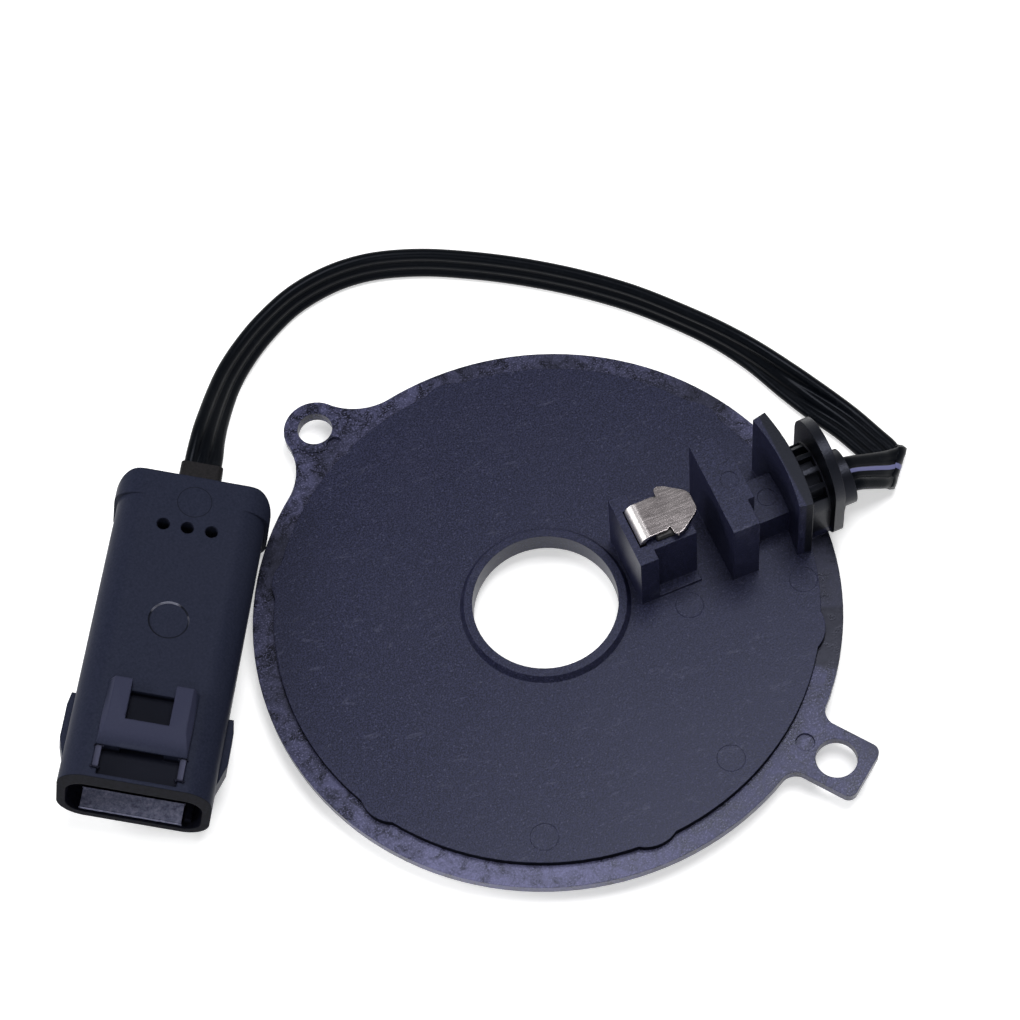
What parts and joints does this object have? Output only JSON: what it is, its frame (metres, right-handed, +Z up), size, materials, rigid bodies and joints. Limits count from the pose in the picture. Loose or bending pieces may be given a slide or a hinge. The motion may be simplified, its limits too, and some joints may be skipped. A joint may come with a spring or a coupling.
{
  "type": "ignition hall sensor",
  "caption": "Round moulded switch plate that senses a distributor's shutter vane with a magnet tower and a facing sensor slab, on a short ribbon lead with a locking connector.",
  "frame": {"origin": "centre of the shaft hole, in the plane of the flange's seating face", "axes": "+Z up along the shaft hole, +X from the shaft hole to the lead's neck"},
  "size_m": [0.1408, 0.1177, 0.0231],
  "materials": {
    "plate_plastic": "glass-filled black moulding, matte disk and glossier flange",
    "connector_plastic": "satin black moulding",
    "lead_jacket": "satin black insulation",
    "pole_steel": "bright stamped strip",
    "magnet_metal": "dull sintered block",
    "chip_resin": "matte resin",
    "tinned_metal": "tinned"
  },
  "bodies": {
    "root": {"base_plate": "plate_plastic", "magnet": "magnet_metal", "pole_piece": "pole_steel", "hall_chip": "chip_resin", "flux_plate": "pole_steel", "chip_leg_1": "tinned_metal", "chip_leg_2": "tinned_metal", "chip_leg_3": "tinned_metal", "splice_1": "tinned_metal", "splice_2": "tinned_metal", "splice_3": "tinned_metal", "neck_cores": "lead_jacket", "potting": "chip_resin", "lead_cable": "lead_jacket", "cable_collar": "connector_plastic", "connector_body": "connector_plastic", "terminal_1": "tinned_metal", "terminal_2": "tinned_metal", "terminal_3": "tinned_metal"}
  },
  "joints": []
}
